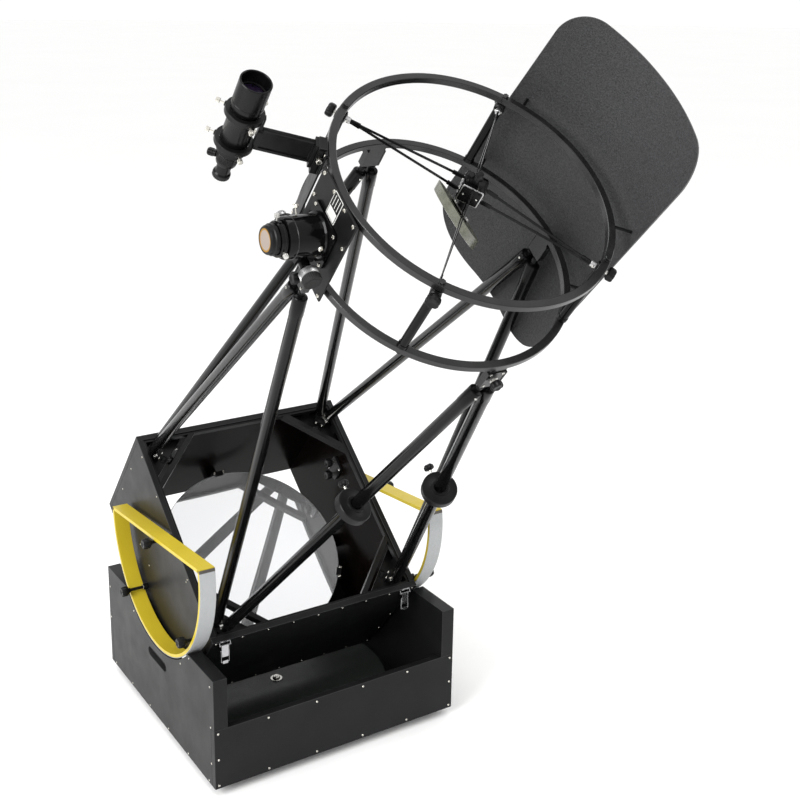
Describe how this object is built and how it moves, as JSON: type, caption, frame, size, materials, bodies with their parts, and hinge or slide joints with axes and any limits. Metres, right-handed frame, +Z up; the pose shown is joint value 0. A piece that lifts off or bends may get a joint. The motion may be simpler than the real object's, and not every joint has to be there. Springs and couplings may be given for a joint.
{
  "type": "truss dobsonian telescope",
  "caption": "Large reflecting telescope: a rocker box that turns on a ground board carries a mirror box, truss poles and an upper cage with focuser, finder and light shield.",
  "frame": {"origin": "middle of the assembly's footprint at rest, on the floor under the feet", "axes": "+Z up; the tube leans towards -Y, 50 degrees above the horizon; +X is the side of the light shield, -X the side of the focuser"},
  "size_m": [0.8348, 1.5572, 1.8343],
  "materials": {
    "black_laminate": "satin",
    "azimuth_laminate": "satin",
    "foot_nylon": "satin",
    "slide_pad": "matte",
    "bright_steel": "satin",
    "latch_chrome": "polished",
    "bearing_yellow": "satin",
    "bearing_facing": "satin",
    "black_powder": "satin",
    "mirror_coating": "polished",
    "black_anodised": "satin",
    "ring_anodised": "satin",
    "shield_plastic": "matte",
    "focuser_gloss": "gloss",
    "cap_plastic": "satin",
    "knurled_knob": "satin",
    "knob_plastic": "satin"
  },
  "bodies": {
    "ground": {"ground_board": "black_laminate", "foot_1": "foot_nylon", "foot_2": "foot_nylon", "foot_3": "foot_nylon", "azimuth_bolt": "bright_steel"},
    "rocker": {"rocker_side_left": "black_laminate", "rocker_side_right": "black_laminate", "rocker_front": "black_laminate", "rocker_back": "black_laminate", "rocker_floor": "black_laminate", "azimuth_disc": "azimuth_laminate", "altitude_pad_1": "slide_pad", "altitude_pad_2": "slide_pad", "altitude_pad_3": "slide_pad", "altitude_pad_4": "slide_pad"},
    "tube": {"bearing_left": "bearing_yellow", "bearing_right": "bearing_yellow", "bearing_facing_left": "bearing_facing", "bearing_facing_right": "bearing_facing", "mirror_box_front": "black_laminate", "mirror_box_back": "black_laminate", "mirror_box_left": "black_laminate", "mirror_box_right": "black_laminate", "truss_frame": "black_powder", "mirror_cell": "black_powder", "primary_mirror": "mirror_coating", "truss_pole_1": "black_anodised", "truss_pole_2": "black_anodised", "truss_pole_3": "black_anodised", "truss_pole_4": "black_anodised", "truss_pole_5": "black_anodised", "truss_pole_6": "black_anodised", "truss_pole_7": "black_anodised", "truss_pole_8": "black_anodised", "lower_ring": "ring_anodised", "upper_ring": "ring_anodised", "cage_post_1": "black_anodised", "cage_post_2": "black_anodised", "cage_post_3": "black_anodised", "cage_post_4": "black_anodised", "spider": "black_anodised", "focuser_board": "black_anodised", "finder_plate": "black_anodised", "finder_bracket": "black_anodised", "finder_tube": "black_anodised", "focuser_body": "focuser_gloss", "light_shield": "shield_plastic"},
    "secondary": {"secondary_mirror": "mirror_coating", "secondary_holder": "bright_steel"},
    "drawtube": {"focuser_drawtube": "focuser_gloss"},
    "cap": {"dust_cap": "cap_plastic"},
    "coarse_knob": {"focus_shaft": "knurled_knob"},
    "fine_knob": {"fine_focus_knob": "knurled_knob"},
    "weight_left": {"counterweight_1": "black_powder"},
    "weight_right": {"counterweight_2": "black_powder"},
    "weight_knob_left": {"counterweight_knob_1": "knob_plastic"},
    "weight_knob_right": {"counterweight_knob_2": "knob_plastic"},
    "toggle_left": {"latch_left": "latch_chrome"},
    "toggle_right": {"latch_right": "latch_chrome"}
  },
  "joints": [
    {"name": "azimuth", "type": "hinge", "parent": "ground", "child": "rocker", "pos_m": [0.04484, 0.32831, 0.02], "axis": [0, 0, 1], "continuous": true},
    {"name": "altitude", "type": "hinge", "parent": "rocker", "child": "tube", "pos_m": [0.04484, 0.32831, 0.5222], "axis": [1, 0, 0], "range_deg": [-40, 50]},
    {"name": "focus_slide", "type": "slide", "parent": "tube", "child": "drawtube", "axis": [-1, 0, 0], "range_m": [-0.001, 0.045]},
    {"name": "coarse_focus_turn", "type": "hinge", "parent": "tube", "child": "coarse_knob", "pos_m": [-0.28716, -0.42093, 1.4151], "axis": [0, 0.766, 0.6428], "range_deg": [-430, 10]},
    {"name": "fine_focus_turn", "type": "hinge", "parent": "tube", "child": "fine_knob", "pos_m": [-0.28716, -0.42093, 1.4151], "axis": [0, 0.766, 0.6428], "range_deg": [-4298, 96]},
    {"name": "dust_cap_pull", "type": "slide", "parent": "drawtube", "child": "cap", "axis": [-1, 0, 0], "range_m": [0, 0.12]},
    {"name": "secondary_tilt", "type": "hinge", "parent": "tube", "child": "secondary", "pos_m": [0.04484, -0.49189, 1.49967], "axis": [0, 0.766, 0.6428], "range_deg": [-2, 2]},
    {"name": "weight_slide_left", "type": "slide", "parent": "tube", "child": "weight_left", "axis": [0.2237, -0.6415, 0.7338], "range_m": [-0.4, 0.3]},
    {"name": "weight_knob_turn_left", "type": "hinge", "parent": "weight_left", "child": "weight_knob_left", "pos_m": [-0.07087, -0.26719, 0.79907], "axis": [0.0044, 0.7535, 0.6574], "range_deg": [0, 720]},
    {"name": "weight_slide_right", "type": "slide", "parent": "tube", "child": "weight_right", "axis": [-0.2237, -0.6415, 0.7338], "range_m": [-0.4, 0.3]},
    {"name": "weight_knob_turn_right", "type": "hinge", "parent": "weight_right", "child": "weight_knob_right", "pos_m": [0.16542, -0.2532, 0.78306], "axis": [-0.0044, 0.7535, 0.6574], "range_deg": [0, 720]},
    {"name": "toggle_swing_left", "type": "hinge", "parent": "tube", "child": "toggle_left", "pos_m": [-0.21716, 0.09119, 0.33107], "axis": [1, 0, 0], "range_deg": [-60, 36]},
    {"name": "toggle_swing_right", "type": "hinge", "parent": "tube", "child": "toggle_right", "pos_m": [0.30684, 0.09119, 0.33107], "axis": [1, 0, 0], "range_deg": [-60, 36]}
  ],
  "couplings": [
    {"joint": "coarse_focus_turn", "follows": "focus_slide", "rad_per_m": -166.67},
    {"joint": "fine_focus_turn", "follows": "focus_slide", "rad_per_m": -1666.7}
  ]
}
